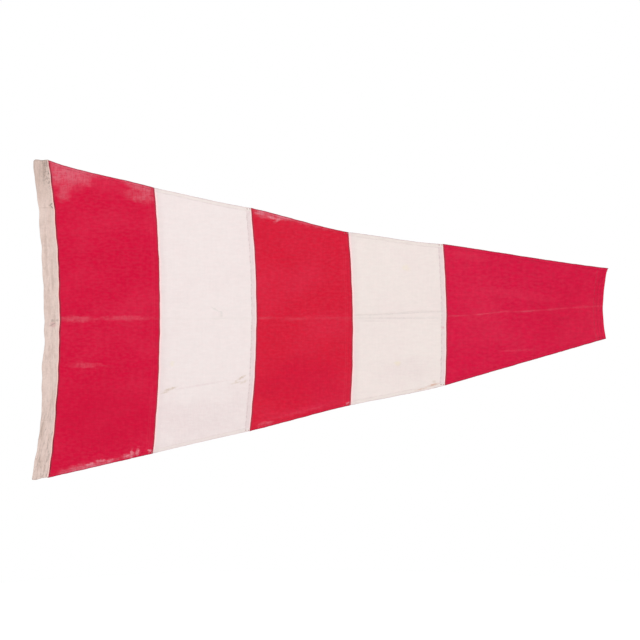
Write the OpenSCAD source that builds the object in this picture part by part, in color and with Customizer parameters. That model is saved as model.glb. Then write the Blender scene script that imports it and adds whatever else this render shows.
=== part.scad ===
// Tapered signal pennant: five sewn stripes on a canvas heading that a rope or a staff runs through.
// X runs from the hoist to the fly, Z is up the hoist, and the front face looks towards -Y.
// The origin is the centre of the heading, at the middle of its height.

/* [Heading] */
// Width of the folded canvas heading, laid flat
heading_width = 38; // [30:1:60]
// Height of the heading's top end above the origin
heading_top = 382; // [381:1:430]
// Depth of the heading's outer bottom corner below the origin
heading_bottom = 383; // [380:1:430]
// How much higher the heading's bottom end is at its inner corner
heading_slant = 8; // [0:1:15]
// How far the middle of the hoist is drawn in towards the fly
hoist_bow = 26; // [15:1:40]
// Thickness of one layer of canvas
canvas = 0.8; // [0.5:0.1:1.5]
// Thickness of the opened sleeve, from outside to outside
sleeve_depth = 12; // [8:1:20]
// Width of the sewn seam that closes the sleeve on the cloth
heading_seam = 9.5; // [8:0.5:12]

/* [Stripe lengths at mid-height] */
// First red stripe
stripe_1 = 240; // [150:1:350]
// First white stripe
stripe_2 = 230; // [150:1:350]
// Middle red stripe
stripe_3 = 230; // [150:1:350]
// Second white stripe
stripe_4 = 223; // [150:1:350]
// Last red stripe, as far as the fly edge
stripe_5 = 374; // [150:1:500]

/* [Top edge above the origin] */
// At the hoist
hoist_top = 381; // [350:1:381]
// At the first seam
seam_1_top = 315; // [280:1:340]
// At the second seam
seam_2_top = 267; // [230:1:290]
// At the third seam
seam_3_top = 209; // [180:1:240]
// At the fourth seam
seam_4_top = 181; // [140:1:200]
// At the fly
fly_top = 123; // [80:1:140]

/* [Bottom edge below the origin] */
// At the hoist
hoist_bottom = 377; // [350:1:378]
// At the first seam
seam_1_bottom = 319; // [280:1:340]
// At the second seam
seam_2_bottom = 266; // [230:1:290]
// At the third seam
seam_3_bottom = 204; // [180:1:230]
// At the fourth seam
seam_4_bottom = 157; // [120:1:180]
// At the fly
fly_bottom = 45; // [30:1:110]

/* [Curve of the seams] */
// How far the middle of the first seam stands towards the fly from its ends
seam_1_bow = 15; // [0:1:30]
// The same for the second seam
seam_2_bow = 15; // [0:1:30]
// The same for the third seam
seam_3_bow = 8; // [0:1:30]
// The same for the fourth seam
seam_4_bow = 6; // [0:1:30]
// How far the middle of the fly edge is drawn in towards the hoist
fly_draw = 9; // [0:1:20]
// How far the first seam's top is nearer the fly than its bottom
seam_1_lean = 3; // [-15:1:15]
// The same for the second seam
seam_2_lean = 3; // [-15:1:15]
// The same for the third seam
seam_3_lean = -5; // [-15:1:15]
// The same for the fourth seam
seam_4_lean = -5; // [-15:1:15]
// The same for the fly edge
fly_lean = 4; // [-15:1:15]

/* [Cloth and sewing] */
// Thickness of one layer of cotton bunting
cloth = 0.5; // [0.3:0.1:1]
// Width of the turned hem along the top and bottom edges
edge_hem = 9; // [6:0.5:14]
// Width of the turned hem at the fly
fly_hem = 26; // [25:1:40]
// Width of the felled allowance behind each seam
fell = 11.5; // [8:0.5:16]
// Width of a row of stitching
thread = 0.8; // [0.5:0.1:1.2]
// Distance from a seam to the row beside it
edge_row = 1.6; // [1.2:0.1:2.5]
// Distance between the rows at the fly
fly_row_pitch = 7.5; // [5:0.5:8]

/* [Hidden] */
red = [0.83, 0.12, 0.25];
white = [0.94, 0.9, 0.89];
beige = [0.87, 0.79, 0.75];
red_thread = [0.68, 0.09, 0.19];
cream_thread = [0.9, 0.85, 0.8];

arc_steps = 16;
sleeve_facets = 720;
cut_over = 1;
far = 2 * heading_top;
thread_proud = 0.3;
// The pennant is turned under twice at every hem and fell, so the turned part is two layers behind the face.
turned = 2 * cloth;
front = -cloth / 2;
back = cloth / 2;
turned_back = back + turned;
heading_edge = heading_width / 2;
heading_edge_row = 2.4;
// The far row of a hem, a fell or the heading runs this far inside the edge of the turned part.
row_inset = 2;
row_end_gap = 1;
fell_root = 1.5;
tack_length = 9;
tack_reach = 2.5;

// One line across the pennant: its place at mid-height, top, bottom, bow and lean.
hoist = [heading_edge, hoist_top, hoist_bottom, hoist_bow, 0];
seam_1 = [heading_edge + stripe_1, seam_1_top, seam_1_bottom, seam_1_bow, seam_1_lean];
seam_2 = [seam_1.x + stripe_2, seam_2_top, seam_2_bottom, seam_2_bow, seam_2_lean];
seam_3 = [seam_2.x + stripe_3, seam_3_top, seam_3_bottom, seam_3_bow, seam_3_lean];
seam_4 = [seam_3.x + stripe_4, seam_4_top, seam_4_bottom, seam_4_bow, seam_4_lean];
fly = [seam_4.x + stripe_5, fly_top, fly_bottom, -fly_draw, fly_lean];
lines = [hoist, seam_1, seam_2, seam_3, seam_4, fly];

function is_red(stripe) = stripe % 2 == 1;
function top_z(line) = line[1];
function bottom_z(line) = -line[2];
function height(line) = line[1] + line[2];
function level(line, z) = (z - (top_z(line) + bottom_z(line)) / 2) / (height(line) / 2);
function line_x(line, z) = line.x + line[4] / 2 * level(line, z) - line[3] * pow(level(line, z), 2);

// Points on a line across the pennant from low to high, moved sideways by shift.
function arc_points(line, low, high, shift = 0) = [
    for (i = [0:arc_steps])
        let (z = low + (high - low) * i / arc_steps)
        [line_x(line, z) + shift, z]
];
function reversed(points) = [for (i = [len(points) - 1:-1:0]) points[i]];
function between(left, right) = concat(left, reversed(right));
function strip(line, low, high, from, to) =
    between(arc_points(line, low, high, from), arc_points(line, low, high, to));

// A flat piece in the pennant's plane, from one depth to another.
module slab(near_y, far_y) {
    translate([0, far_y, 0])
        rotate([90, 0, 0])
            linear_extrude(far_y - near_y)
                children();
}

// ---- Canvas heading ----

sleeve_radius = (pow(heading_top, 2) + pow(hoist_bow, 2)) / (2 * hoist_bow);
sleeve_overrun = 1.1;
sleeve_angle = sleeve_overrun * asin(heading_top / sleeve_radius);
lip_start = heading_edge - heading_seam;
shoulder_share = 0.2;
shoulder = shoulder_share * (lip_start + heading_edge);
half_depth = sleeve_depth / 2;
half_fold = 0.8;
lip = back + canvas;

// Half of the sleeve's section, from the outer fold to the seam, moved inwards by one wall.
function half_section(wall) = [
    [-heading_edge + wall, 0],
    [-heading_edge + wall, half_fold],
    [-heading_edge + shoulder + wall / 2, half_depth - wall],
    [lip_start - shoulder - wall / 2, half_depth - wall],
    [lip_start, lip - wall]
];
function leaf_section() =
    concat(half_section(0), [[heading_edge, lip], [heading_edge, back]], reversed(half_section(canvas)));

// One leaf of the folded strip, on the front (side -1) or the back (side 1). They meet along the fold.
module leaf(side) {
    color(beige)
        intersection() {
            translate([-sleeve_radius, 0, 0])
                rotate([90, 0, 0])
                    rotate([0, 0, -sleeve_angle])
                        rotate_extrude(angle = 2 * sleeve_angle, $fn = sleeve_facets)
                            translate([sleeve_radius, 0])
                                polygon([for (p = leaf_section()) [p.x, -side * p.y]]);
            slab(-sleeve_depth, sleeve_depth)
                polygon([
                    [-far, heading_top], [far, heading_top],
                    [heading_edge - hoist_bow, heading_slant - heading_bottom],
                    [-heading_edge - hoist_bow, -heading_bottom], [-far, -heading_bottom]
                ]);
        }
}

module heading_front_leaf() leaf(-1);
module heading_back_leaf() leaf(1);

// ---- Stripes ----

module outline(left, right, tuck) {
    polygon(between(
        arc_points(left, bottom_z(left), top_z(left), -tuck),
        arc_points(right, bottom_z(right), top_z(right))
    ));
}

// The band inside an edge that runs from one corner to the next; side is 1 at the top and -1 at the bottom.
module edge_band(left, right, side) {
    z_left = side > 0 ? top_z(left) : bottom_z(left);
    z_right = side > 0 ? top_z(right) : bottom_z(right);
    slope = (z_right - z_left) / (line_x(right, z_right) - line_x(left, z_left));
    x_left = line_x(left, z_left) - edge_hem;
    x_right = line_x(right, z_right) + edge_hem;
    z_start = z_left - slope * edge_hem;
    z_end = z_right + slope * edge_hem;
    polygon([
        [x_left, z_start + side * cut_over], [x_right, z_end + side * cut_over],
        [x_right, z_end - side * edge_hem], [x_left, z_start - side * edge_hem]
    ]);
}

// One stripe: its face, its turned hems, and the allowance that is felled behind the stripe before it.
module stripe(number, tint) {
    left = lines[number - 1];
    right = lines[number];
    color(tint)
        union() {
            slab(front, back)
                outline(left, right, number == 1 ? heading_seam : 0);
            for (side = [-1, 1])
                slab(back, turned_back)
                    intersection() {
                        outline(left, right, 0);
                        edge_band(left, right, side);
                    }
            if (number > 1)
                slab(back, turned_back)
                    polygon(strip(left, bottom_z(left) + edge_hem, top_z(left) - edge_hem, -fell, fell_root));
            if (number == len(lines) - 1)
                slab(back, turned_back)
                    polygon(strip(right, bottom_z(right) + edge_hem, top_z(right) - edge_hem, -fly_hem, 0));
        }
}

module panel_1_red() stripe(1, red);
module panel_2_white() stripe(2, white);
module panel_3_red() stripe(3, red);
module panel_4_white() stripe(4, white);
module panel_5_red() stripe(5, red);

// ---- Sewing ----

// A row of stitching is a run of thread on the front and a second run on the back. Its thread is cream on the
// canvas and on white cloth, and red on red cloth.
module row(tint, front_face, back_face) {
    color(tint) {
        slab(front_face - thread_proud, front_face)
            children();
        slab(back_face, back_face + thread_proud)
            children();
    }
}

module row_along(line, inset, low, high) {
    polygon(strip(line, low, high, -inset - thread / 2, -inset + thread / 2));
}

module heading_row(inset) {
    row(cream_thread, -lip, lip)
        row_along(hoist, inset, heading_slant - heading_bottom + row_inset, heading_top - row_inset);
}

module seam_row(number, inset) {
    line = lines[number];
    row(is_red(number) ? red_thread : cream_thread, front, turned_back)
        row_along(line, inset, bottom_z(line) + edge_hem + row_end_gap, top_z(line) - edge_hem - row_end_gap);
}

// The stretch of a hem's row that crosses one stripe.
module hem_stretch(number, side) {
    z_shift = side * (row_inset - edge_hem);
    path = [
        for (end = [[lines[number - 1], row_end_gap], [lines[number], -row_end_gap]])
            let (z = side > 0 ? top_z(end[0]) : bottom_z(end[0]))
            [line_x(end[0], z) + end[1], z + z_shift]
    ];
    row(is_red(number) ? red_thread : cream_thread, front, turned_back)
        polygon(between([for (p = path) p + [0, thread / 2]], [for (p = path) p - [0, thread / 2]]));
}

module hem_row(side, first) {
    for (number = [first:2:len(lines) - 1])
        hem_stretch(number, side);
}

module fly_row(number) {
    row(red_thread, front, turned_back)
        row_along(
            fly, number * fly_row_pitch,
            bottom_z(fly) + edge_hem + row_end_gap, top_z(fly) - edge_hem - row_end_gap
        );
}

module heading_edge_stitch() heading_row(heading_edge_row);
module heading_inner_stitch() heading_row(heading_seam - row_inset);
module seam_1_edge_stitch() seam_row(1, edge_row);
module seam_1_fell_stitch() seam_row(1, fell - row_inset);
module seam_2_edge_stitch() seam_row(2, edge_row);
module seam_2_fell_stitch() seam_row(2, fell - row_inset);
module seam_3_edge_stitch() seam_row(3, edge_row);
module seam_3_fell_stitch() seam_row(3, fell - row_inset);
module seam_4_edge_stitch() seam_row(4, edge_row);
module seam_4_fell_stitch() seam_row(4, fell - row_inset);
module top_hem_stitch_red() hem_row(1, 1);
module top_hem_stitch_white() hem_row(1, 2);
module bottom_hem_stitch_red() hem_row(-1, 1);
module bottom_hem_stitch_white() hem_row(-1, 2);
module fly_stitch_1() fly_row(1);
module fly_stitch_2() fly_row(2);
module fly_stitch_3() fly_row(3);

// A short bar of hand stitches across the hem at both ends of each seam.
module seam_end_tacks() {
    color(cream_thread)
        for (line = [seam_1, seam_2, seam_3, seam_4], side = [-1, 1]) {
            z = side > 0 ? top_z(line) - tack_reach : bottom_z(line) + tack_reach;
            slab(front - thread_proud, front)
                translate([line_x(line, z) - edge_row - tack_length, z - thread / 2])
                    square([tack_length, thread]);
        }
}

heading_front_leaf();
heading_back_leaf();
panel_1_red();
panel_2_white();
panel_3_red();
panel_4_white();
panel_5_red();
heading_edge_stitch();
heading_inner_stitch();
seam_1_edge_stitch();
seam_1_fell_stitch();
seam_2_edge_stitch();
seam_2_fell_stitch();
seam_3_edge_stitch();
seam_3_fell_stitch();
seam_4_edge_stitch();
seam_4_fell_stitch();
top_hem_stitch_red();
top_hem_stitch_white();
bottom_hem_stitch_red();
bottom_hem_stitch_white();
fly_stitch_1();
fly_stitch_2();
fly_stitch_3();
seam_end_tacks();
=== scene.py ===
import math
from functools import reduce

import bpy
import numpy as np
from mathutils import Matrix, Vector


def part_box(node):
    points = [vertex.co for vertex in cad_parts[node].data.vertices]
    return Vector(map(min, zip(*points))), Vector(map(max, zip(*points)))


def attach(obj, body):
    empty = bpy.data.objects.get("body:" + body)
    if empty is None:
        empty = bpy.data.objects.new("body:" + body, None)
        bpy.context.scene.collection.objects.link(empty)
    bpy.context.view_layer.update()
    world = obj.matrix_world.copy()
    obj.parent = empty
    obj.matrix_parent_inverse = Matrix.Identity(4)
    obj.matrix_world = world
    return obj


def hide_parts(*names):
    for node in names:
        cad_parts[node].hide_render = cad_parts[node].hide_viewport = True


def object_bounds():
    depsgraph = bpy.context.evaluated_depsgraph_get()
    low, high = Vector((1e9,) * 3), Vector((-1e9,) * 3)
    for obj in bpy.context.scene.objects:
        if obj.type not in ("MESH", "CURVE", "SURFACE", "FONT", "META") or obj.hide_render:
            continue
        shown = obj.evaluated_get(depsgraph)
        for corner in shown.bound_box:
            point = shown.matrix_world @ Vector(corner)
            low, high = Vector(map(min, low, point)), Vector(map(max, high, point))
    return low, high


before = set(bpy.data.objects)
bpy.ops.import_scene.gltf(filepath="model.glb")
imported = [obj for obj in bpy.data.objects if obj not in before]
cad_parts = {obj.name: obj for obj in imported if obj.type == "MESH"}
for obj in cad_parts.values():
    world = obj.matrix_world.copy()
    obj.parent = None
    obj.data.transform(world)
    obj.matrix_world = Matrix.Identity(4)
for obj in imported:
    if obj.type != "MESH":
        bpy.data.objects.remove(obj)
cad_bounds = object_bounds()

# The looks of a tapered signal pennant: five stripes of bunting on a folded canvas heading.
# X runs from the hoist to the fly, Z is up the hoist, and the front face looks towards -Y.
# Lengths are in metres, except where a comment says millimetres.
# Lines, corners and thicknesses are read from the CAD model.

MM = 0.001
STRIPES = ["panel_1_red", "panel_2_white", "panel_3_red", "panel_4_white", "panel_5_red"]
LAST = len(STRIPES) - 1

# ---- What the CAD model says ----

CLOTH = -2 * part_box(STRIPES[0])[0].y
TURNED_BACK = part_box(STRIPES[0])[1].y
HEADING_LOW, HEADING_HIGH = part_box("heading_front_leaf")
# The sewn rows and the inner folds stand at these distances in from a seam line or an edge.
EDGE_ROW = 1.6 * MM
HEADING_ROWS = (2.4 * MM, 7.5 * MM)
FLY_ROWS = (7.5 * MM, 15 * MM, 22.5 * MM)
HEM = 9 * MM
HEM_ROW = 7 * MM
FLY_HEM = 26 * MM
FELL = 11.5 * MM
FELL_ROW = 9.5 * MM
ROW_GAP = 1 * MM
LINE_TOLERANCE = 0.3 * MM
# How far hand sewing strays from its line, on the lengths of these waves.
UNSTEADY = 0.2 * MM
UNSTEADY_HOIST = 0.42 * MM
UNSTEADY_WAVES = (0.083, 0.137, 0.044)
# Each line's waves are shifted along it by this many radians for every metre of X.
UNSTEADY_SHIFT = 40
FLY_FLARE = 2.2 * MM
FLARE_REACH = 5 * MM


def points_of(node):
    """The corners of a CAD node, one row each."""
    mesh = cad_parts[node].data
    points = np.empty(3 * len(mesh.vertices))
    mesh.vertices.foreach_get("co", points)
    return points.reshape(-1, 3)


class Line:
    """A line across the pennant: x as a quadratic of z, between its lowest and its highest z."""

    def __init__(self, row_node, inset, panel_node, flare=0.0, unsteady=UNSTEADY):
        self.flare = flare
        self.unsteady = unsteady
        row = points_of(row_node)
        self.curve = np.polyfit(row[:, 2], row[:, 0], 2)
        self.curve[2] += inset
        panel = points_of(panel_node)
        near = abs(panel[:, 0] - np.polyval(self.curve, panel[:, 2])) < LINE_TOLERANCE
        self.low = panel[near, 2].min()
        self.high = panel[near, 2].max()

    def x(self, z):
        """The line as it is sewn: a little unsteady."""
        phase = UNSTEADY_SHIFT * self.curve[2]
        waves = enumerate(UNSTEADY_WAVES, 1)
        unsteady = sum(np.sin(2 * math.pi * z / length + i * phase) for i, length in waves)
        flared = self.flare * np.exp(-np.maximum(0, self.high - z) / FLARE_REACH)
        return np.polyval(self.curve, z) + self.unsteady * unsteady + flared


HOIST = Line("heading_edge_stitch", HEADING_ROWS[0], STRIPES[0], unsteady=UNSTEADY_HOIST)
SEAMS = [Line(f"seam_{i + 1}_edge_stitch", EDGE_ROW, STRIPES[i]) for i in range(LAST)]
FLY = Line("fly_stitch_1", FLY_ROWS[0], STRIPES[LAST], flare=FLY_FLARE)
LINES = [HOIST, *SEAMS, FLY]

# ---- The lie of the cloth ----

WAVES = 14
# Seeds of the random waves. Those of the swells, the lines and the edges count up from theirs.
SEED = {
    "swells": 11, "lines": 21, "edges": 31, "fold": 40, "fold place": 41, "fold width": 42, "mouth": 51,
    "heading end": 52, "outer fold": 54, "upright": 55, "crumple": 56, "lip": 57, "slant": 58, "rim": 61,
}
SWELLS = [(0.42, 2.4 * MM), (0.16, 0.8 * MM), (0.05, 0.16 * MM)]
PUCKER_LENGTH = 0.013
PUCKER_HEIGHT = 0.32 * MM
PUCKER_REACH = 0.012
# Puckers are long across a row, where distances count as this much.
ALONG_PUCKER = 0.35
CREASE_HEIGHT = 0.8 * MM
CREASE_WIDTH = 3.4 * MM
CREASE_WANDER = 1.8 * MM
CREASE_EXTRA = 1.3 * MM
CREASE_FADE = 10 * MM
SECOND_CREASE_Z = 4 * MM
# The height of the lengthwise fold where each stripe starts and where it ends.
CREASE_Z = np.array([(2, 2), (2, 3), (3, 3.5), (9.5, 20.5), (9, 33)]) * MM
CREASE_BREAK = 4 * MM
# How much the fold's strength and width vary, and the second fold's strength.
CREASE_VARIES = 0.4
SECOND_CREASE = 0.7
# How far each stripe's edge is drawn in at its middle, and how much more on its hoist side.
TOP_SAG = np.array([(2.6, 4.7), (1.6, -1.6), (0.9, -2.6), (1.9, -3.4), (2.1, -1.4)]) * MM
LOW_SAG = np.array([(0.0, 0.0), (1.1, 0.0), (0.6, -1.5), (-1.2, 1.8), (2.4, 1.0)]) * MM


def ripples(x, z, seed, size):
    """Smooth random waves of about this size, between -1 and 1, the same on every run."""
    chance = np.random.default_rng(seed)
    total = np.zeros(np.broadcast(x, z).shape)
    for _ in range(WAVES):
        angle = chance.uniform(0, 2 * math.pi)
        number = 2 * math.pi / (size * chance.uniform(0.7, 1.7))
        phase = chance.uniform(0, 2 * math.pi)
        total += np.cos(number * (x * math.cos(angle) + z * math.sin(angle)) + phase)
    return np.clip(total / math.sqrt(2 * WAVES), -1, 1)


def ramp(value, start, end):
    """A smooth step from 0 at start to 1 at end."""
    share = np.clip((value - start) / (end - start), 0, 1)
    return share * share * (3 - 2 * share)


def ridge(distance, width):
    """1 at no distance, falling off over about the width on either side."""
    return np.exp(-((distance / width) ** 2))


def sag(stripe, share, highest):
    """How far an edge is drawn in, at a share of the way along a stripe."""
    table = TOP_SAG if highest else LOW_SAG
    depth, lean = table[stripe, 0], table[stripe, 1]
    share = np.clip(share, 0, 1)
    return 4 * share * (1 - share) * (depth + lean * (1 - 2 * share))


def end_of(line, highest):
    """Where a line meets the pennant's top or bottom edge, as (x, z)."""
    z = line.high if highest else line.low
    return line.x(z), z


def edge_z(x, highest):
    """The height of the pennant's top or bottom edge, which sags a little between its corners."""
    corners_x, corners_z = np.transpose([end_of(line, highest) for line in LINES])
    place = np.interp(x, corners_x, np.arange(len(LINES)))
    stripe = np.minimum(place.astype(int), LAST)
    drawn_in = sag(stripe, place - stripe, highest)
    return np.interp(x, corners_x, corners_z) - (drawn_in if highest else -drawn_in)


def crease_z(x):
    """The height of the lengthwise fold, which steps at the seams."""
    wander = CREASE_WANDER * ripples(x, 0 * x, SEED["fold place"], 0.09)
    ends = [place for line in LINES for place in (line.x(0) - CREASE_BREAK, line.x(0) + CREASE_BREAK)]
    return np.interp(x, ends[1:-1], CREASE_Z.ravel()) + wander


def crease(x, z):
    """How strongly a point is on the lengthwise fold. The fourth stripe has a second one, under it."""
    start, end = SEAMS[2].x(0), SEAMS[3].x(0)
    proud = ramp(x, start, start + CREASE_FADE) * (1 - ramp(x, end - CREASE_FADE, end))
    along = (1 - CREASE_VARIES) + CREASE_VARIES * ripples(x, 0 * x, SEED["fold"], 0.05)
    along = along + 0.6 * proud * (1 - along)
    width = CREASE_WIDTH * (1 + CREASE_VARIES * ripples(x, 0 * x, SEED["fold width"], 0.07))
    width = width * (1 - 0.5 * ramp(x, end - 5 * MM, end + 5 * MM))
    first = along * ridge(z - crease_z(x), width)
    inside = ramp(x, start, start + 15 * MM) * (1 - ramp(x, end - 40 * MM, end))
    return first + SECOND_CREASE * inside * ridge(z - SECOND_CREASE_Z, CREASE_WIDTH)


def fold_height(x, z):
    """The fold stands up most in the fourth stripe, where it wasn't pressed flat again."""
    start, end = SEAMS[2].x(0), SEAMS[3].x(0)
    rising = ramp(x, start - 20 * MM, start + 20 * MM)
    proud = rising * (1 - ramp(x, end - CREASE_FADE, end + 30 * MM))
    return (CREASE_HEIGHT + CREASE_EXTRA * proud) * crease(x, z)


def pucker(distance, x, z, seed):
    """The cloth ripples beside its sewn rows and folds."""
    return PUCKER_HEIGHT * np.exp(-abs(distance) / PUCKER_REACH) * ripples(x, z, seed, PUCKER_LENGTH)


def lift(x, z):
    """How far the cloth stands off its plane, towards the back, at a point. All its layers follow it."""
    total = sum(height * ripples(x, z, SEED["swells"] + i, size) for i, (size, height) in enumerate(SWELLS))
    for i, line in enumerate(LINES):
        total = total + pucker(x - line.x(z), ALONG_PUCKER * x, z, SEED["lines"] + i)
    for i, highest in enumerate((True, False)):
        total = total + pucker(z - edge_z(x, highest), x, ALONG_PUCKER * z, SEED["edges"] + i)
    return total + fold_height(x, z)


# ---- Building meshes ----


def rounded(distance, radius):
    """Share of the full thickness at a distance from a folded edge."""
    inside = 1 - np.clip(distance / radius, 0, 1)
    return np.sqrt(np.maximum(0, 1 - inside * inside))


def quads(index):
    """The faces between neighbours in a grid of point numbers."""
    corners = [index[:-1, :-1], index[1:, :-1], index[1:, 1:], index[:-1, 1:]]
    return np.stack(corners, -1).reshape(-1, 4)


def shell(near, far, marks):
    """A closed thin part from two grids of points, which meet all round: (points, faces, marks)."""
    across, up = near.shape[:2]
    rim = np.zeros((across, up), bool)
    rim[[0, -1], :] = True
    rim[:, [0, -1]] = True
    near_index = np.arange(across * up).reshape(across, up)
    far_index = near_index.copy()
    far_index[~rim] = across * up + np.arange((~rim).sum())
    near = np.where(rim[..., None], (near + far) / 2, near)
    points = np.concatenate([near.reshape(-1, 3), far[~rim]])
    faces = np.concatenate([quads(near_index), quads(far_index)[:, ::-1]])
    marked = {key: np.concatenate([value.ravel(), value[~rim]]) for key, value in marks.items()}
    return points, faces, marked


def slab(x, z, front, back, whole, marks):
    """A part of a stripe: its grid, the depths of its two faces, and its share of the full thickness."""
    middle = lift(x, z) + (front + back) / 2
    half = whole * (back - front) / 2
    near, far = (np.stack([x, y, z], -1) for y in (middle - half, middle + half))
    return shell(near, far, dict(zip(STRIPE_MARKS, marks)))


def piece(name, parts, material, nodes):
    """One named object made of closed parts, which stands for CAD nodes."""
    points = np.concatenate([part[0] for part in parts])
    starts = np.cumsum([0] + [len(part[0]) for part in parts])
    faces = np.concatenate([part[1] + start for part, start in zip(parts, starts)])
    mesh = bpy.data.meshes.new(name)
    mesh.from_pydata(points, [], faces)
    mesh.shade_smooth()
    mesh.validate()
    for key in parts[0][2]:
        values = np.concatenate([part[2][key] for part in parts])
        mesh.attributes.new(key, "FLOAT", "POINT").data.foreach_set("value", values.astype(np.float32))
    made = bpy.data.objects.new(name, mesh)
    bpy.context.scene.collection.objects.link(made)
    mesh.materials.append(material)
    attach(made, "root")
    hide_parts(*nodes)
    return made


# ---- Stripes ----

# What the mesh tells the material at each point: distances to the two lines and the edge, and the fold.
STRIPE_MARKS = ("from_left", "to_right", "to_rim", "creased")
# Where mesh rows stand, from a seam line, an edge or the lengthwise fold. They crowd at the folds.
GRID = 3.6 * MM
SEAM_STEPS = np.array([0, 0.12, 0.3, 0.6, 1, 1.6, 2.3, 3.4, 5, 7, 8.6, 9.5, 10.4, 11.5, 12.6, 14.5]) * MM
UNDER_STEPS = np.array([-1.5, -1.3, -0.8, -0.2, 0.4, 1, 1.7, 2.6, 4, 6, 9]) * MM
TUCK_STEPS = np.array([-9, -8.8, -8, -6, -4, -2, -0.5, 0.4, 1.2, 2.4, 4.4, 7.5]) * MM
FLY_STEPS = np.array([
    0, 0.12, 0.3, 0.6, 1, 1.8, 3.2, 5, 6.4, 7.5, 8.6, 11, 13.8, 15, 16.2, 19,
    21.3, 22.5, 23.7, 25.2, 25.7, 26.1, 26.5, 28,
]) * MM
RIM_STEPS = np.array([0, 0.12, 0.3, 0.6, 1, 1.7, 3, 4.6, 6, 7, 8, 8.6, 8.9, 9.2, 10.2, 12.5]) * MM
CREASE_STEPS = np.array([-7, -5, -3.4, -2.2, -1.1, 0, 1.1, 2.2, 3.4, 5, 7]) * MM
# How far the doubled cloth bulges, how deep a sewn row pulls in, and over what width.
PUFF = 0.4 * MM
HEM_PUFF = 0.6 * PUFF
DIMPLE = 0.3 * MM
BACK_DIMPLE = 0.6 * DIMPLE
ROW_WIDTH = 0.9 * MM
# Radii of the rounded edges.
SINGLE_FOLD = 0.25 * MM
SEAM_FOLD = 0.45 * MM
HEM_FOLD = 0.7 * MM
UNDERLAP = 0.55 * MM
TUCK_SLOPE = 0.35
RIM_ROUGH = 0.3 * MM


def evenly(start, end, pitch):
    """Positions strictly between two others, about one pitch apart."""
    count = max(2, int(round((end - start) / pitch)))
    return np.linspace(start, end, count + 1)[1:-1]


def within(distance, limit, before, after):
    """1 inside a limit and 0 outside it. The step starts and ends these millimetres before and after."""
    return 1 - ramp(distance, limit - before * MM, limit + after * MM)


def dimples(distance, rows):
    """How strongly a point is on one of some sewn rows."""
    return sum(ridge(distance - row, ROW_WIDTH) for row in rows)


def faces_of(number, x, z):
    """Front and back of a stripe's main part at points of its own, before its rim is rounded."""
    left, right = LINES[number], LINES[number + 1]
    from_left = x - left.x(z)
    to_right = right.x(z) - x
    to_rim = np.minimum(edge_z(x, True) - z, z - edge_z(x, False))
    front = np.full(x.shape, -CLOTH / 2)
    back = np.full(x.shape, CLOTH / 2)
    in_hem = within(to_rim, HEM, 0.2, 0.2)
    if number == 0:
        in_hem = in_hem * ramp(from_left, 0.2 * MM, 1.2 * MM)
    front = front - HEM_PUFF * within(to_rim, HEM, 1, 2)
    front = front + DIMPLE * dimples(to_rim, [HEM_ROW])
    back = back + (TURNED_BACK - CLOTH / 2) * in_hem - BACK_DIMPLE * dimples(to_rim, [HEM_ROW])
    if number == LAST:
        in_fly = within(to_right, FLY_HEM, 0.2, 0.2)
        front = front - HEM_PUFF * within(to_right, FLY_HEM, 1, 2) * (1 - in_hem)
        front = front + DIMPLE * dimples(to_right, FLY_ROWS)
        back = np.maximum(back, CLOTH / 2 + (TURNED_BACK - CLOTH / 2) * in_fly)
        back = back - BACK_DIMPLE * dimples(to_right, FLY_ROWS)
    else:
        front = front - PUFF * within(to_right, FELL, 1, 1.5)
        front = front + DIMPLE * dimples(to_right, [EDGE_ROW, FELL_ROW])
    if number > 0:
        under = UNDERLAP * (1 - ramp(from_left, -0.4 * MM, 2.6 * MM))
        front = front + under
        back = back + under * (1 - in_hem)
    return front, back


def main_part(number):
    """A stripe with its hems, on a grid that follows its lines, its edges and the lengthwise fold."""
    left, right = LINES[number], LINES[number + 1]
    width = right.x(0) - left.x(0)
    near = TUCK_STEPS if number == 0 else UNDER_STEPS
    far = FLY_STEPS if number == LAST else SEAM_STEPS
    shares = np.concatenate([near, evenly(near[-1], width - far[-1], GRID), width - far[::-1]]) / width
    tucked = TUCK_SLOPE * np.minimum(shares, 0) * width
    on_line = np.clip(shares, 0, 1)
    rough = RIM_ROUGH * ripples(left.x(0) + width * shares, 0 * shares, SEED["rim"], 0.02)
    low = left.low + (right.low - left.low) * on_line + sag(number, shares, False) - tucked - rough
    high = left.high + (right.high - left.high) * on_line - sag(number, shares, True) + tucked + rough
    fold = crease_z(left.x(0) + width * shares)
    gap = RIM_STEPS[-1]
    lower = evenly(0, 1, GRID / (fold - low - gap).max())
    upper = evenly(0, 1, GRID / (high - fold - gap).max())
    rows = [low + step for step in RIM_STEPS]
    rows += [low + gap + (fold - low - gap + CREASE_STEPS[0]) * share for share in lower]
    rows += [fold + step for step in CREASE_STEPS]
    rows += [fold + CREASE_STEPS[-1] + (high - gap - fold - CREASE_STEPS[-1]) * share for share in upper]
    rows += [high - step for step in RIM_STEPS[::-1]]
    z = np.stack(rows, -1)
    share = shares[:, None] * np.ones_like(z)
    x = left.x(z) + (right.x(z) - left.x(z)) * share
    front, back = faces_of(number, x, z)
    left_edge = width * (shares - shares[0])[:, None]
    right_edge = width * (shares[-1] - shares)[:, None]
    to_low = z - low[:, None]
    to_high = high[:, None] - z
    right_fold = HEM_FOLD if number == LAST else SEAM_FOLD
    whole = rounded(left_edge, SINGLE_FOLD) * rounded(right_edge, right_fold)
    whole = whole * rounded(to_low, HEM_FOLD) * rounded(to_high, HEM_FOLD)
    marks = (x - left.x(z), right.x(z) - x, np.minimum(to_low, to_high), crease(x, z))
    return slab(x, z, front, back, whole, marks)


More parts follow.
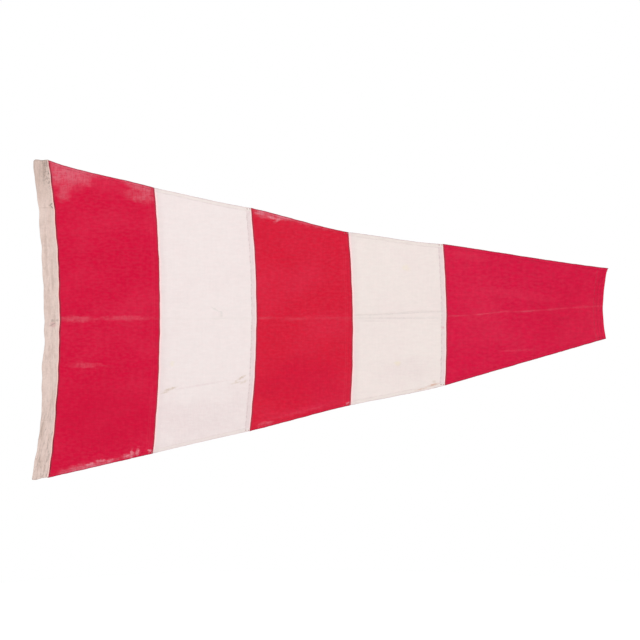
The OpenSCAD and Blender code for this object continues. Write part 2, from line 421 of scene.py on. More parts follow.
FELL_STEPS = np.array([
    -11.5, -11.38, -11.2, -10.9, -10.4, -9.5, -8.6, -6.5, -4.4, -2.5, -1.6, -0.7, 0.3, 0.8, 1.1, 1.3,
]) * MM
FELL_ENDS = np.array([0, 0.12, 0.3, 0.7, 1.5, 3]) * MM
FELL_CLEAR = 0.3 * MM


def fell_back(off_seam):
    """The back of the felled allowance, by the distance past its seam line."""
    back = TURNED_BACK + 0.25 * PUFF - BACK_DIMPLE * dimples(-off_seam, [EDGE_ROW, FELL_ROW])
    return back - 0.5 * MM * ramp(off_seam, -0.6 * MM, 1.2 * MM)


def fell_part(number):
    """The allowance of a stripe that is felled behind the stripe before it."""
    seam = LINES[number]
    low, high = seam.low + HEM + FELL_CLEAR, seam.high - HEM - FELL_CLEAR
    gap = FELL_ENDS[-1]
    between = low + gap + evenly(0, high - low - 2 * gap, GRID)
    z = np.concatenate([low + FELL_ENDS, between, high - FELL_ENDS[::-1]])
    z = z[None, :] * np.ones((len(FELL_STEPS), 1))
    off_seam = FELL_STEPS[:, None] * np.ones_like(z)
    x = seam.x(z) + off_seam
    front = CLOTH / 2 + 0.02 * MM
    back = fell_back(off_seam)
    whole = rounded(off_seam - FELL_STEPS[0], SEAM_FOLD) * rounded(FELL_STEPS[-1] - off_seam, SINGLE_FOLD)
    whole = whole * rounded(z - low, SEAM_FOLD) * rounded(high - z, SEAM_FOLD)
    marks = (off_seam, np.full(x.shape, 1.0), np.minimum(z - seam.low, seam.high - z), crease(x, z))
    return slab(x, z, front, back, whole, marks)


# ---- Canvas heading ----

CANVAS = 0.8 * MM
HEADING_WIDTH = 38 * MM
HEADING_SEAM = 9.5 * MM
HEADING_GRID = 3.2 * MM
HEADING_SLANT = 8 * MM
OPENED = 3.6 * MM
OPENING_VARIES = 0.35
WRINKLE_SIZE = 11 * MM
CRUMPLE_SIZE = 18 * MM
WRINKLE_HEIGHT = 0.66 * MM
# Wrinkles are long: distances along them count as this much.
ALONG_WRINKLE = 0.11
UPRIGHT_LEAN = 0.05
SLANT_LEAN = 0.24
SLANT_FROM, SLANT_TO = -0.16, -0.3
# The parts of the sleeve's width in which the outer fold turns and wrinkles fade out.
TURN_PART, WRINKLE_FADE_PART = 1 / 14, 1 / 6
SECTION_STEPS = 34
# How far the ends are rounded at the outer fold, and how far the top dips in its middle.
CORNER = 4.2 * MM
CORNER_PART = 0.22
DIP = 1.5 * MM
DIP_PLACE = 0.42
HEADING_ENDS = np.array([0, 0.15, 0.4, 0.8, 1.6, 3]) * MM
LIP_STEPS = np.array([0, 0.1, 0.3, 0.7, 1.4, 2.4, 3.6, 5.2, 6.6, 7.5, 8.4, 9.5]) * MM
CANVAS_FOLD = 0.4 * MM
END_UNSTEADY = 1.2 * MM
FOLD_UNSTEADY = 0.9 * MM
# Where the outer fold is drawn in, as rows of height, depth and reach.
PINCHES = np.array([
    (380, 3.4, 18), (262, 1.5, 40), (63, 2.8, 36), (-45, 4.2, 38), (-222, 5.4, 48), (-300, 2.2, 36),
]) * MM


def heading_off(side, away, x, z):
    """How far the middle of the canvas stands off, away from the seam line. The side is -1 in front."""
    share = np.clip((HEADING_WIDTH - away) / (HEADING_WIDTH - HEADING_SEAM), 0, 1)
    loose = ramp(away, HEADING_SEAM - 1.5 * MM, HEADING_SEAM + 5 * MM)
    unsteady = 1 + OPENING_VARIES * ripples(0 * z, z, SEED["mouth"], 0.3)
    open_here = OPENED * unsteady * np.sin(math.pi * np.sqrt(share))
    depth = (CLOTH + CANVAS) / 2 * np.sqrt(np.clip(share / TURN_PART, 0, 1)) + open_here * loose
    depth = depth - 0.5 * DIMPLE * dimples(away, HEADING_ROWS)
    flat_part = PUCKER_HEIGHT * 0.8 * (1 - loose) * ripples(0.3 * x, z, SEED["lip"], PUCKER_LENGTH)
    creased = WRINKLE_HEIGHT * wrinkles(x, z) * loose * np.clip(share / WRINKLE_FADE_PART, 0, 1)
    # The wrinkles show in full in front and less at the back.
    return side * (depth + flat_part) + creased * (0.65 - 0.35 * side)


def wrinkles(x, z):
    """The canvas is creased lengthwise. Towards its lower end the creases run slantwise across it."""
    slanting = ramp(z, SLANT_FROM, SLANT_TO)
    upright = ripples(x + UPRIGHT_LEAN * z, ALONG_WRINKLE * z, SEED["upright"], WRINKLE_SIZE)
    slant = ripples(x - SLANT_LEAN * z, ALONG_WRINKLE * z, SEED["slant"], WRINKLE_SIZE)
    crumple = ripples(x, z, SEED["crumple"], CRUMPLE_SIZE)
    return (1 - slanting) * upright * 0.8 + slanting * slant * 1.3 + 0.35 * crumple


def heading_part():
    """The folded canvas: a strip that runs from the front lip round the outer fold to the back lip."""
    hollow = HEADING_WIDTH - HEADING_SEAM
    turn = np.linspace(0, math.pi, SECTION_STEPS + 1)[1:]
    half = np.concatenate([LIP_STEPS, HEADING_SEAM + hollow * (1 - np.cos(turn)) / 2])
    distance = np.concatenate([half, half[-2::-1]])
    side = np.sign(np.arange(len(distance)) - len(half) + 1)
    low, high = HEADING_LOW.z, HEADING_HIGH.z
    height = high - low
    between = evenly(HEADING_ENDS[-1], height - HEADING_ENDS[-1], HEADING_GRID)
    levels = np.concatenate([HEADING_ENDS, between, height - HEADING_ENDS[::-1]]) / height
    inward = distance / HEADING_WIDTH
    corner = CORNER * np.clip((inward - 1 + CORNER_PART) / CORNER_PART, 0, 1) ** 2.4
    uneven = END_UNSTEADY * ripples(inward, 0 * inward, SEED["heading end"], 0.5)
    bottom = low + HEADING_SLANT * (1 - inward) + uneven + 0.4 * corner
    top = high - DIP * ridge(inward - DIP_PLACE, 0.2) - corner
    z = bottom[:, None] + (top - bottom)[:, None] * levels[None, :]
    away = distance[:, None] * np.ones_like(z)
    which = side[:, None] * np.ones_like(z)
    drawn_in = sum(depth * ridge(z - place, reach) for place, depth, reach in PINCHES)
    unsteady = FOLD_UNSTEADY * ripples(0 * z, z, SEED["outer fold"], 0.07) * ramp(away, 0.02, HEADING_WIDTH)
    x = HOIST.x(z) - away + unsteady + drawn_in * away / HEADING_WIDTH
    centre = np.stack([x, heading_off(which, away, x, z) + lift(x, z), z], -1)
    normal = np.cross(np.gradient(centre, axis=0), np.gradient(centre, axis=1))
    normal /= np.linalg.norm(normal, axis=-1, keepdims=True)
    from_lip = np.where(side == 0, HEADING_WIDTH, distance)[:, None]
    to_end = np.minimum(levels, 1 - levels)[None, :] * height
    half_wall = (CANVAS / 2 * rounded(from_lip, CANVAS_FOLD) * rounded(to_end, CANVAS_FOLD))[..., None]
    marks = {"from_lip": away, "wrinkled": wrinkles(x, z), "to_end": to_end * np.ones_like(z)}
    return shell(centre + normal * half_wall, centre - normal * half_wall, marks)


# ---- Stitching ----

STITCH = 3 * MM
STITCH_SHOWN = 2.5 * MM
# The thread's radius, and how far a stitch stands proud in the middle and how much less at its ends.
THREAD = 0.26 * MM
THREAD_SUNK = 0.3 * MM
THREAD_PROUD = 0.12 * MM
# The rings of a stitch: how far along its half length each is, and its share of the radius.
THREAD_RINGS = [(-1.0, 0.35), (-0.72, 0.9), (-0.3, 1.0), (0.3, 1.0), (0.72, 0.9), (1.0, 0.35)]
THREAD_SIDES = 6
PATH_POINTS = 200
TACK_STEPS = np.array([1.7, 2.3, 2.9, 3.5]) * MM
TACK_SPAN = (-10.6 * MM, -1.6 * MM)


def stitches(centres, directions, outward):
    """Short rounded threads laid on a surface. Their ends dip into it and their middles stand proud."""
    sideways = np.cross(directions, outward)
    rings = []
    for along, swell in THREAD_RINGS:
        bowed = THREAD_PROUD - THREAD_SUNK * along * along
        middle = centres + directions * (along * STITCH_SHOWN / 2) + outward * bowed
        for angle in np.arange(THREAD_SIDES) * 2 * math.pi / THREAD_SIDES:
            spoke = sideways * math.cos(angle) + outward * (0.8 * math.sin(angle))
            rings.append(middle + spoke * (THREAD * swell))
    points = np.stack(rings, 1)
    count, each = points.shape[:2]
    ring = np.arange(THREAD_SIDES)
    after = (ring + 1) % THREAD_SIDES
    last = each - THREAD_SIDES
    # Two quads close the six-sided ring at each end.
    caps = np.array([[0, 5, 4, 3], [3, 2, 1, 0]])
    sides = [np.stack([ring, after, after + THREAD_SIDES, ring + THREAD_SIDES], -1) + start
             for start in range(0, last, THREAD_SIDES)]
    one = np.concatenate([*sides, caps, caps[:, ::-1] + last])
    faces = (one[None] + (np.arange(count) * each)[:, None, None]).reshape(-1, 4)
    return points.reshape(-1, 3), faces, {}


def row_part(path, surface, side):
    """Running stitches along a path of (x, z) points, on one face. The surface gives y at (x, z)."""
    leg = np.hypot(*np.diff(path, axis=1))
    run = np.concatenate([[0], np.cumsum(leg)])
    count = max(1, int((run[-1] - STITCH_SHOWN) / STITCH))
    at = STITCH_SHOWN / 2 + np.arange(count) * (run[-1] - STITCH_SHOWN) / max(1, count - 1)
    ends = []
    for shift in (-0.5, 0.5):
        x, z = (np.interp(at + shift * STITCH_SHOWN, run, way) for way in path)
        ends.append(np.stack([x, surface(x, z), z], -1))
    directions = ends[1] - ends[0]
    directions /= np.linalg.norm(directions, axis=-1, keepdims=True)
    outward = np.array([0, side, 0]) - directions * (side * directions[:, 1:2])
    outward /= np.linalg.norm(outward, axis=-1, keepdims=True)
    return stitches((ends[0] + ends[1]) / 2, directions, outward)


def both_faces(path, face, *which):
    """A row of stitches that shows on the front and on the back of the cloth."""
    return [row_part(path, face(*which, side), side) for side in (-1, 1)]


def stripe_face(number, side):
    """The depth of a stripe's front or back at (x, z), as a function."""
    return lambda x, z: faces_of(number, x, z)[(side + 1) // 2] + lift(x, z)


def fell_face(number):
    """The depth of the back of a felled allowance, as a function."""
    return lambda x, z: fell_back(x - LINES[number].x(z)) + lift(x, z)


def canvas_face(side):
    """The depth of the outside of the heading's front or back leaf, as a function."""
    return lambda x, z: heading_off(side, HOIST.x(z) - x, x, z) + side * CANVAS / 2 + lift(x, z)


def down_line(line, shift, low, high):
    """The path of a row beside a line, from its lower end to its upper one."""
    z = np.linspace(low, high, PATH_POINTS)
    return np.stack([line.x(z) + shift, z])


def along_edge(number, highest):
    """A hem row's path in one stripe, between its two lines."""
    start, end = (end_of(line, highest)[0] for line in LINES[number:number + 2])
    x = np.linspace(start + ROW_GAP, end - ROW_GAP, PATH_POINTS)
    return np.stack([x, edge_z(x, highest) + (-HEM_ROW if highest else HEM_ROW)])


def tack_parts(number):
    """Hand stitches side by side across the hem, at each end of a seam."""
    seam = LINES[number]
    parts = []
    for z, inward in ((seam.high, -1), (seam.low, 1)):
        for step in TACK_STEPS:
            level = z + inward * step
            x = seam.x(level) + np.array(TACK_SPAN)
            parts.append(row_part(np.stack([x, [level, level]]), stripe_face(number - 1, -1), -1))
    return parts


# ---- Materials ----

# The sockets of a Mix node that carry colours.
MIX_FIRST, MIX_SECOND, MIX_RESULT = 6, 7, 2
# How far noise moves the rim of a blotch, in parts of its size.
RAGGED = 1.8
SPECULAR = 0.12
BUNTING_PITCH = 0.72 * MM
CANVAS_PITCH = 1.1 * MM
# White cloth shows its yarns less than red cloth.
WHITE_GRAIN = 0.36


def put(socket, value):
    """Give a socket a value, or link it to another socket."""
    if isinstance(value, bpy.types.NodeSocket):
        socket.id_data.links.new(value, socket)
    else:
        socket.default_value = value


def new_node(tree, kind, *values, **settings):
    """A new node with its settings and its first inputs filled in."""
    node = tree.nodes.new("ShaderNode" + kind)
    for key, value in settings.items():
        setattr(node, key, value)
    for socket, value in zip(node.inputs, values):
        put(socket, value)
    return node


class Graph:
    """The nodes of one material. Its colour is laid on tint by tint. Other methods give a socket."""

    def __init__(self, name, colour):
        self.material = bpy.data.materials.new(name)
        self.material.use_nodes = True
        self.tree = self.material.node_tree
        self.tree.nodes.clear()
        self.colour = colour
        self.shader = self.node("BsdfPrincipled")
        self.node("OutputMaterial", self.shader.outputs["BSDF"])
        self.place = self.node("TexCoord").outputs["Object"]
        self.x, self.y, self.z = self.node("SeparateXYZ", self.place).outputs

    def node(self, kind, *values, **settings):
        return new_node(self.tree, kind, *values, **settings)

    def math(self, operation, *values):
        return self.node("Math", *values, operation=operation).outputs[0]

    def add(self, *values):
        return reduce(lambda total, value: self.math("ADD", total, value), values)

    def times(self, *values):
        return reduce(lambda total, value: self.math("MULTIPLY", total, value), values)

    def attribute(self, name):
        return self.node("Attribute", attribute_name=name).outputs["Fac"]

    def step(self, value, start, end, low=0.0, high=1.0):
        """A smooth step from low at start to high at end."""
        values = (value, start, end, low, high)
        return self.node("MapRange", *values, interpolation_type="SMOOTHSTEP").outputs[0]

    def fade(self, value, start, end, strength=1.0):
        """The strength up to the start, falling smoothly to 0 at the end."""
        return self.step(value, start, end, strength, 0.0)

    def band(self, value, centre, half_width):
        """1 at the centre and 0 from half_width away."""
        away = self.math("ABSOLUTE", self.math("SUBTRACT", value, centre))
        return self.fade(away, 0.0, half_width)

    def vary(self, base, *amounts):
        """A base value moved by pairs of a mottling about 0.5 and its strength."""
        return self.add(base, *(self.times(self.add(value, -0.5), strength) for value, strength in amounts))

    def leaning(self, lean):
        """The place, with its X slanted along Z."""
        slanted = self.math("SUBTRACT", self.x, self.times(self.z, lean))
        return self.node("CombineXYZ", slanted, self.y, self.z).outputs[0]

    def noise(self, sizes, detail=2.0, rough=0.5, shift=0.0, lean=0.0, deep=1000):
        """Random mottling about 0.5, with features of these millimetres in X and Z. A lean slants them."""
        place = self.leaning(lean) if lean else self.place
        moved = (shift, shift * 0.7, shift * 1.3)
        scale = [1 / (size * MM) for size in (sizes[0], deep, sizes[1])]
        node = self.node("TexNoise", self.node("Mapping", place, moved, (0, 0, 0), scale).outputs[0])
        for key, value in (("Scale", 1.0), ("Detail", detail), ("Roughness", rough)):
            put(node.inputs[key], value)
        return node.outputs["Fac"]

    def patch(self, shape, shift=0.0):
        """Up to 1 in a ragged blotch: its centre, half sizes and slope if any, in millimetres."""
        x, z, wide, high = (value * MM for value in shape[:4])
        along = self.math("SUBTRACT", self.x, x)
        above = self.math("SUBTRACT", self.z, z)
        for rise in shape[4:]:
            above = self.math("SUBTRACT", above, self.times(along, rise))
        across = self.math("DIVIDE", along, wide)
        up = self.math("DIVIDE", above, high)
        away = self.math("SQRT", self.add(self.times(across, across), self.times(up, up)))
        finest = min(shape[2:4])
        grain = self.noise((1.5 * finest, 0.7 * finest), 4.0, 0.65, shift)
        return self.fade(self.vary(away, (grain, RAGGED)), 0.2, 1.0)

    def weave(self, pitch):
        """A plain weave: over and under in turn, from -1 to 1."""
        waves = [self.math("SINE", self.times(axis, 2 * math.pi / pitch)) for axis in (self.x, self.z)]
        return self.times(*waves)

    def lay(self, tint, *shares):
        """Mix a tint into the colour. Its share is the product of the shares."""
        node = self.node("Mix", self.times(*shares), data_type="RGBA")
        put(node.inputs[MIX_FIRST], self.colour)
        put(node.inputs[MIX_SECOND], tint)
        self.colour = node.outputs[MIX_RESULT]

    def finish(self, factor, roughness, bumps, sheen=0.0):
        """Fill in the shader. The bumps are pairs of a height from 0 to 1 and its depth in metres."""
        tone = self.node("VectorMath", self.colour, operation="SCALE")
        put(tone.inputs["Scale"], factor)
        put(self.shader.inputs["Base Color"], tone.outputs[0])
        put(self.shader.inputs["Roughness"], roughness)
        put(self.shader.inputs["Specular IOR Level"], SPECULAR)
        put(self.shader.inputs["Sheen Weight"], sheen)
        normal = None
        for height, depth in bumps:
            node = self.node("Bump")
            put(node.inputs["Distance"], depth)
            put(node.inputs["Height"], height)
            if normal is not None:
                put(node.inputs["Normal"], normal)
            normal = node.outputs[0]
        put(self.shader.inputs["Normal"], normal)
        return self.material


def linear(red, green, blue):
    """A display colour from 0 to 255, as the linear one that a shader takes."""
    channels = [value / 255 for value in (red, green, blue)]
    return [c / 12.92 if c <= 0.04045 else ((c + 0.055) / 1.055) ** 2.4 for c in channels] + [1.0]


STRIPE_COLOURS = [(209, 3, 56), (240, 229, 227), (212, 20, 52), (239, 228, 223), (211, 12, 62)]
RED_WORN = linear(216, 106, 122)
RED_FADED = linear(216, 50, 80)
RED_DARK = linear(128, 20, 44)
# Painted shade on red beside the seams' folds and along the heading.
RED_SHADE = linear(156, 54, 70)
# Painted shade along the top and bottom folds of the red stripes.
RED_RIM_SHADE = linear(150, 46, 68)
WHITE_GREY = linear(228, 209, 209)
HEM_GREY = linear(232, 222, 214)
WHITE_LINE = linear(208, 190, 190)
WHITE_PINK = linear(244, 214, 214)
YELLOWED = linear(238, 226, 204)
# Painted highlight along the folds at the seams.
FOLD_HIGHLIGHT = linear(255, 224, 224)
# Painted highlight along the heading's folded lip.
LIP_HIGHLIGHT = linear(255, 216, 208)
STAIN = linear(214, 196, 182)
ORANGE = linear(214, 170, 148)
# Smudges on white cloth, and painted shade in its folds.
SMUDGE_AND_SHADE = linear(222, 214, 210)
RED_WISP = linear(230, 146, 160)
RED_DEEP = linear(203, 8, 54)
CANVAS_COLOUR = linear(224, 202, 193)
CANVAS_DARK = linear(198, 174, 162)
CANVAS_LIGHT = linear(232, 212, 203)
# Dirt on the canvas, and painted shade in its crinkles.
CANVAS_DIRT_AND_SHADE = linear(150, 132, 124)
CANVAS_PINK = linear(206, 164, 162)


def bunting(number, is_red):
    """The cloth of one stripe, with its marks."""
    g = Graph(f"bunting_{'red' if is_red else 'white'}_{number}", linear(*STRIPE_COLOURS[number]))
    shift = 3.7 * number
    from_left, to_right, to_rim, creased = (g.attribute(name) for name in STRIPE_MARKS)
    slub = g.noise((24, 5.4), 2.0, 0.5, shift)
    warp = g.noise((4.6, 40), 2.0, 0.5, shift)
    fleck = g.noise((9, 6), 3.0, 0.6, shift)
    pale = g.noise((11, 5.4), 2.0, 0.5, shift + 4)
    broad = g.noise((120, 90), 1.0, 0.5, shift)
    weave = g.weave(BUNTING_PITCH)
    worn, faded, grain = (RED_WORN, RED_FADED, 1.0) if is_red else (WHITE_PINK, WHITE_GREY, WHITE_GRAIN)
    g.lay(faded, g.step(broad, 0.4, 0.75, 0.0, 0.22 if is_red else 0.18))
    g.lay(worn, g.step(pale, 0.3, 0.75, 0.0, 0.08 if is_red else 0.1))
    if not is_red:
        g.lay(HEM_GREY, g.fade(to_rim, 4 * MM, HEM + 2 * MM, 0.5))
        g.lay(WHITE_LINE, g.band(to_rim, HEM, 2 * MM), g.step(fleck, 0.4, 0.6, 0.05, 0.4))
    lay_wear_and_shade(g, STRIPE_WEAR_AND_SHADE[number], shift)
    broken = g.step(g.noise((14, 7), 3.0, 0.6, shift + 6), 0.35, 0.65)
    # The lengthwise fold: a lighter line on red, and a line of painted shade on white.
    g.lay(worn if is_red else SMUDGE_AND_SHADE, creased, g.step(broken, 0.0, 1.0, 0.45, 1.0), CREASE_TINT[number])
    open_seam = g.math("SUBTRACT", 1.0, g.fade(to_rim, 8 * MM, 10.5 * MM))
    if number < LAST:
        lay_fell(g, is_red, to_right, open_seam, shift)
    if number > 0:
        lay_ditch(g, is_red, from_left, open_seam)
    else:
        lay_hoist(g, from_left)
    if number == LAST:
        lay_fly(g, to_right, broken)
    lay_rim(g, is_red, to_rim, broken)
    factor = g.vary(1.0, (slub, 0.16 * grain), (warp, 0.12 * grain), (fleck, 0.2 * grain), (broad, 0.04))
    factor = g.add(factor, g.times(weave, 0.05 * grain))
    roughness = g.add(g.vary(0.82, (slub, 0.2)), g.times(weave, 0.03))
    bumps = [(g.add(g.times(weave, 0.5), 0.5), 0.09 * MM), (slub, 0.12 * MM), (fleck, 0.1 * MM)]
    return g.finish(factor, roughness, bumps, sheen=0.03)


def lay_wear_and_shade(g, wear_and_shade, shift):
    """Blotches, rubbed more on some yarns than on others, both ways. A few are lines of painted shade along
    folds.
    """
    wefts = g.noise((15, 3.2), 2.0, 0.6, shift + 7)
    warps = g.noise((3.2, 15), 2.0, 0.6, shift + 8)
    hatch = g.step(g.add(wefts, warps), 0.84, 1.12, 0.5, 1.0)
    for row, (tint, strength, *shape) in enumerate(wear_and_shade):
        g.lay(tint, g.patch(shape, shift + row), hatch, strength)


def lay_fell(g, is_red, to_right, open_seam, shift):
    """The hoist side of a seam: on red, painted shade along its fold; on white, the felled strip behind it
    shows through, and a painted highlight runs along its fold.
    """
    if is_red:
        for row in (12.5 * MM, 17 * MM):
            g.lay(RED_WORN, g.band(to_right, row, 1.8 * MM), 0.05)
        # Painted shade along the fold.
        g.lay(RED_SHADE, g.fade(to_right, 3.2 * MM, 6.4 * MM, 0.14))
        g.lay(RED_SHADE, g.fade(to_right, 2.6 * MM, 4.0 * MM, 0.5))
        return
    wobble = g.noise((6, 9), 3.0, 0.6, shift + 9)
    reach = g.vary(to_right, (wobble, 5 * MM))
    strip = g.fade(reach, FELL - 0.6 * MM, FELL + 2.2 * MM)
    g.lay(WHITE_GREY, strip, open_seam, g.step(wobble, 0.35, 0.65, 0.85, 0.5))
    dashes = g.step(g.noise((9, 5), 2.0, 0.5, shift + 2), 0.42, 0.6, 0.1, 0.75)
    g.lay(WHITE_LINE, g.band(reach, FELL - 0.8 * MM, 2.0 * MM), open_seam, dashes)
    # Painted highlight along the fold.
    g.lay(FOLD_HIGHLIGHT, g.fade(to_right, 2.2 * MM, 3.6 * MM), g.add(g.times(open_seam, 0.7), 0.3))


def lay_ditch(g, is_red, from_left, open_seam):
    """The fly side of a seam: painted shade in the ditch on red; on white, greyer and pinker beside the
    seam, with a painted highlight along the fold.
    """
    if is_red:
        # Painted shade in the ditch.
        g.lay(RED_SHADE, g.fade(from_left, 3.4 * MM, 6.4 * MM, 0.16))
        g.lay(RED_SHADE, g.fade(from_left, 2.8 * MM, 4.2 * MM, 0.62), g.add(g.times(open_seam, 0.5), 0.5))
        return
    g.lay(WHITE_GREY, g.fade(from_left, 4.0 * MM, 22 * MM, 0.4))
    g.lay(WHITE_PINK, g.fade(from_left, 4.4 * MM, 6.6 * MM, 0.5))
    # Painted highlight along the fold.
    g.lay(FOLD_HIGHLIGHT, g.fade(from_left, 2.8 * MM, 4.2 * MM), g.add(g.times(open_seam, 0.8), 0.2))


def lay_hoist(g, from_left):
    """The first stripe is in shade along the heading, more in some places than in others."""
    # Painted shade along the heading's lip.
    g.lay(RED_SHADE, g.fade(from_left, 3.4 * MM, 6.4 * MM, 0.2))
    g.lay(RED_SHADE, g.fade(from_left, 2.8 * MM, 4.2 * MM, 0.66))
    shade = g.step(g.noise((20, 40), 2.0, 0.5, 3.0), 0.4, 0.6, 0.1, 0.75)
    g.lay(RED_DARK, g.fade(from_left, 2.2 * MM, 4.4 * MM), shade)


def lay_fly(g, to_right, broken):
    """The sewn rows of the fly hem are dark, and a lighter line runs along its inner fold."""
    for row in FLY_ROWS:
        g.lay(RED_DARK, g.band(to_right, row, 1.8 * MM), broken, 0.25)
    g.lay(RED_WORN, g.band(to_right, FLY_HEM - 3 * MM, 3 * MM), broken, 0.12)


def lay_rim(g, is_red, to_rim, broken):
    """Painted shade along the top and bottom folds; their sewn row is darker too."""
    # Painted shade along the folds of the rim.
    g.lay(RED_RIM_SHADE if is_red else WHITE_GREY, g.fade(to_rim, 1.0 * MM, 3.0 * MM, 0.75))
    if not is_red:
        g.lay(WHITE_LINE, g.fade(to_rim, 0.8 * MM, 2.0 * MM, 0.9), broken)
    g.lay(RED_DARK if is_red else WHITE_GREY, g.band(to_rim, HEM_ROW, 1.6 * MM), 0.15)


def canvas():
    """The heading: heavier cotton, wrinkled down its length and soiled at the top and the middle. Its
    wrinkles carry painted shade in their valleys and painted highlight on their ridges; its crinkles are
    painted shade lines, and a painted highlight runs along its lip.
    """
    g = Graph("canvas", CANVAS_COLOUR)
    from_lip, to_end, wrinkled = (g.attribute(name) for name in ("from_lip", "to_end", "wrinkled"))
    weave = g.weave(CANVAS_PITCH)
    streak = g.noise((5, 46), 3.0, 0.6, 1.0)
    soil = g.noise((16, 26), 3.0, 0.65, 2.0)
    fleck = g.noise((6, 4), 3.0, 0.7, 3.0)
    top = g.step(g.z, 0.24, 0.37)
    g.lay(CANVAS_DARK, g.step(soil, 0.4, 0.75, 0.0, 0.4))
    g.lay(CANVAS_LIGHT, g.step(streak, 0.42, 0.72, 0.0, 0.5))
    # Painted shade in the wrinkles' valleys and painted highlight on their ridges.
    g.lay(CANVAS_DARK, g.step(wrinkled, 0.25, 0.8, 0.0, 0.4))
    g.lay(CANVAS_LIGHT, g.step(wrinkled, -0.3, -0.8, 0.0, 0.35))
    # Thin crinkle lines of painted shade.
    for lean, shift, share in ((0.2, 4.0, g.step(g.z, -0.16, -0.27)), (0.06, 5.0, 0.3)):
        crinkle = g.band(g.noise((8, 60), 2.0, 0.5, shift, lean), 0.5, 0.035)
        g.lay(CANVAS_DIRT_AND_SHADE, crinkle, share, 0.5)
    g.lay(CANVAS_DARK, top, 0.5)
    speck = g.step(g.noise((4, 5), 2.0, 0.6, 6.0), 0.5, 0.62)
    by_lip = g.step(from_lip, 8 * MM, 26 * MM, 1.0, 0.15)
    g.lay(CANVAS_DIRT_AND_SHADE, speck, by_lip, g.step(g.z, 0.3, 0.34), 0.7)
    g.lay(CANVAS_DIRT_AND_SHADE, g.step(streak, 0.48, 0.64), g.step(g.z, 0.29, 0.36), 0.4)
    g.lay(CANVAS_DIRT_AND_SHADE, speck, g.band(from_lip, 5.5 * MM, 4 * MM), top, 0.9)
    for tint, strength, *shape in CANVAS_MARKS:
        g.lay(tint, g.patch(shape), strength)
    # Painted highlight along the lip's fold.
    g.lay(LIP_HIGHLIGHT, g.fade(from_lip, 1.6 * MM, 3.2 * MM, 0.95), g.step(top, 0.0, 1.0, 1.0, 0.6))
    for row in HEADING_ROWS:
        g.lay(CANVAS_DARK, g.band(from_lip, row, 1.2 * MM), 0.25)
    # Darker along the top and bottom ends, more at the top.
    g.lay(CANVAS_DIRT_AND_SHADE, g.fade(to_end, 0.6 * MM, 2.4 * MM), g.step(top, 0.0, 1.0, 0.3, 0.75))
    factor = g.add(g.vary(1.0, (fleck, 0.3), (streak, 0.12), (soil, 0.05)), g.times(weave, 0.03))
    roughness = g.add(g.vary(0.86, (fleck, 0.15)), g.times(weave, 0.02))
    bumps = [(g.add(g.times(weave, 0.5), 0.5), 0.14 * MM), (streak, 0.5 * MM), (fleck, 0.12 * MM)]
    return g.finish(factor, roughness, bumps, sheen=0.05)


def thread(name, colour, dirty):
    """Twisted sewing thread, matched to the cloth."""
    g = Graph(name, colour)
    ply = g.noise((0.5, 0.5), 2.0, 0.6, deep=0.5)
    soil = g.noise((30, 30), 2.0, 0.5, 5.0)
    g.lay(dirty, g.step(soil, 0.45, 0.75, 0.0, 0.5))
    return g.finish(g.vary(1.0, (ply, 0.2)), g.vary(0.7, (ply, 0.2)), [(ply, 0.08 * MM)])


